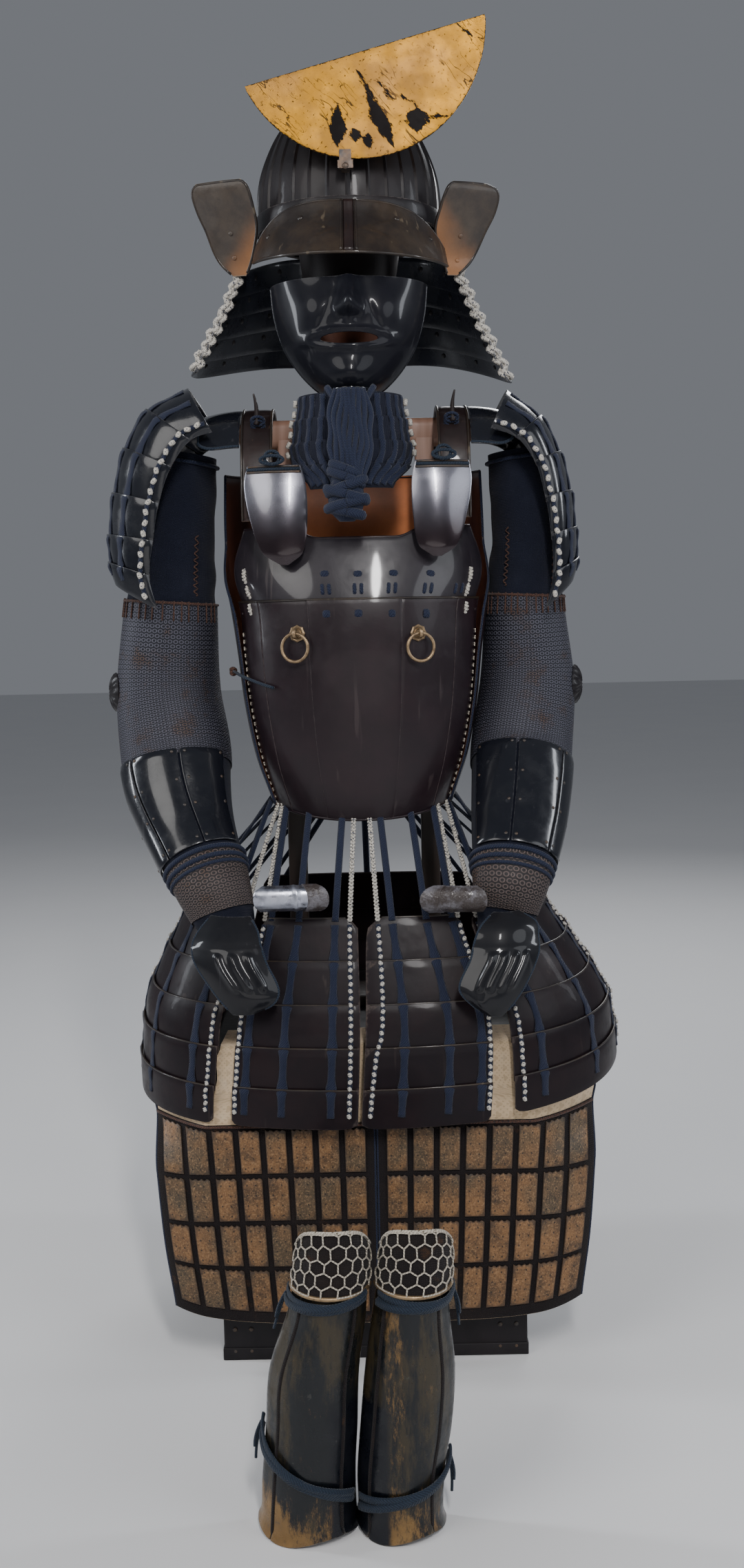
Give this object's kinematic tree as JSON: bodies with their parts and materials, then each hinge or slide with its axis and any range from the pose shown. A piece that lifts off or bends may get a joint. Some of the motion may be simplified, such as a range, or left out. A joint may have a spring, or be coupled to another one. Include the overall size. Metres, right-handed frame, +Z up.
{
  "type": "samurai armour on armour chest and stand",
  "caption": "Full suit of Japanese lacquered plate armour with helmet, crest, mask, sleeves, tassets and shin guards, set out on its storage chest and a wooden stand.",
  "frame": {"origin": "middle of the floor box under the whole suit, on the floor", "axes": "+Z up; the suit faces -Y; +X is to the right of someone facing it"},
  "size_m": [0.6525, 0.7985, 1.6038],
  "materials": {
    "lacquer": "gloss black lacquer",
    "russet": "satin plum-brown lacquer",
    "gold": "gold lacquer, worn through to black",
    "leather": "smoked leather, worn",
    "navy": "navy silk lacing and cord",
    "cloth": "navy cloth under fine mail",
    "tan": "patterned tan cloth",
    "brass": "worn gilt brass",
    "iron": "lacquered iron",
    "silver": "polished iron",
    "worn": "gold-brown lacquer worn to black",
    "net": "brocade under a hexagon net",
    "wood": "plain oiled wood"
  },
  "bodies": {
    "suit_and_stand": {"back_plate": "russet", "breastplate": "russet", "chest_plate": "russet", "chin_cord": "navy", "crest_holder": "iron", "elbow_plate_left": "lacquer", "elbow_plate_right": "lacquer", "face_mask": "lacquer", "forearm_guard_left": "lacquer", "forearm_guard_right": "lacquer", "hand_guard_left": "lacquer", "hand_guard_right": "lacquer", "helmet_bowl": "lacquer", "knee_guard_left": "net", "knee_guard_right": "net", "neck_guard": "lacquer", "pendant_left": "iron", "pendant_right": "iron", "ring_boss_left": "brass", "ring_boss_right": "brass", "shin_guard_left": "worn", "shin_guard_right": "worn", "shin_tie_lower_left": "navy", "shin_tie_lower_right": "navy", "shin_tie_upper_left": "navy", "shin_tie_upper_right": "navy", "shoulder_guard_left": "lacquer", "shoulder_guard_right": "lacquer", "shoulder_strap_left": "russet", "shoulder_strap_right": "russet", "shoulder_wing_left": "lacquer", "shoulder_wing_right": "lacquer", "side_tie": "navy", "sleeve_left": "cloth", "sleeve_right": "cloth", "stand_chest": "russet", "stand_frame": "wood", "stand_lid": "russet", "tasset_back_left": "russet", "tasset_back_middle": "russet", "tasset_back_right": "russet", "tasset_front_left": "russet", "tasset_front_right": "russet", "tasset_side_left": "russet", "tasset_side_right": "russet", "thigh_cloth_left": "tan", "thigh_cloth_right": "tan", "thigh_plates_left": "worn", "thigh_plates_right": "worn", "throat_guard": "navy", "thumb_guard_left": "silver", "thumb_guard_right": "silver", "turn_back_left": "leather", "turn_back_right": "leather", "visor": "russet"},
    "ring_left": {"ring_left": "brass"},
    "ring_right": {"ring_right": "brass"},
    "crest": {"crest": "gold"}
  },
  "joints": [
    {"name": "ring_left_swing", "type": "hinge", "parent": "suit_and_stand", "child": "ring_left", "pos_m": [-0.07774, 0.04948, 0.89433], "axis": [-0.937, 0.3494, 0], "range_deg": [0, 110]},
    {"name": "ring_right_swing", "type": "hinge", "parent": "suit_and_stand", "child": "ring_right", "pos_m": [0.07456, 0.04827, 0.89231], "axis": [-0.9441, -0.3297, 0], "range_deg": [0, 110]},
    {"name": "crest_lift", "type": "slide", "parent": "suit_and_stand", "child": "crest", "axis": [0, 0, 1], "range_m": [0, 0.06]}
  ]
}
